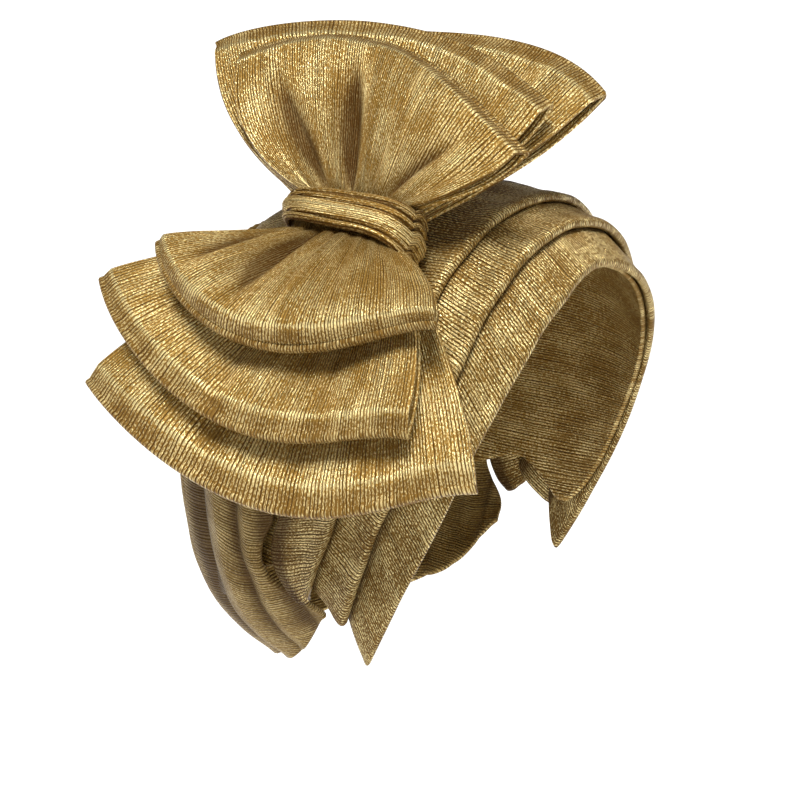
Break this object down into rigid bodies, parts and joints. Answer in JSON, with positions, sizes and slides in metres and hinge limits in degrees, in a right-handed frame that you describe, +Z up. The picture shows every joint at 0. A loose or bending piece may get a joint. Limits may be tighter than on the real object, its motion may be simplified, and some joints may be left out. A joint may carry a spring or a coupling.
{
  "type": "turban cap",
  "caption": "Pleated head wrap in ribbed gold cloth with a layered bow on one side, open at the face and the nape.",
  "frame": {"origin": "inside top of the crown, on the wearer's midline, where the cap sits on the head", "axes": "+Z up, -Y to the front of the face, +X to the wearer's left; the bow is on the wearer's right"},
  "size_m": [0.2108, 0.1834, 0.2617],
  "materials": {
    "crown_cloth": "ribbed cloth with metallic thread",
    "pleat_cloth": "ribbed cloth with metallic thread",
    "drape_cloth": "ribbed cloth with metallic thread, matter",
    "bow_cloth": "ribbed cloth with metallic thread, bright"
  },
  "bodies": {
    "root": {"cap_crown": "crown_cloth", "front_pleat_1": "pleat_cloth", "front_pleat_2": "pleat_cloth", "front_pleat_3": "pleat_cloth", "back_drape": "drape_cloth", "bow_back": "bow_cloth", "bow_middle": "bow_cloth", "bow_front": "bow_cloth", "bow_knot": "bow_cloth"}
  },
  "joints": []
}
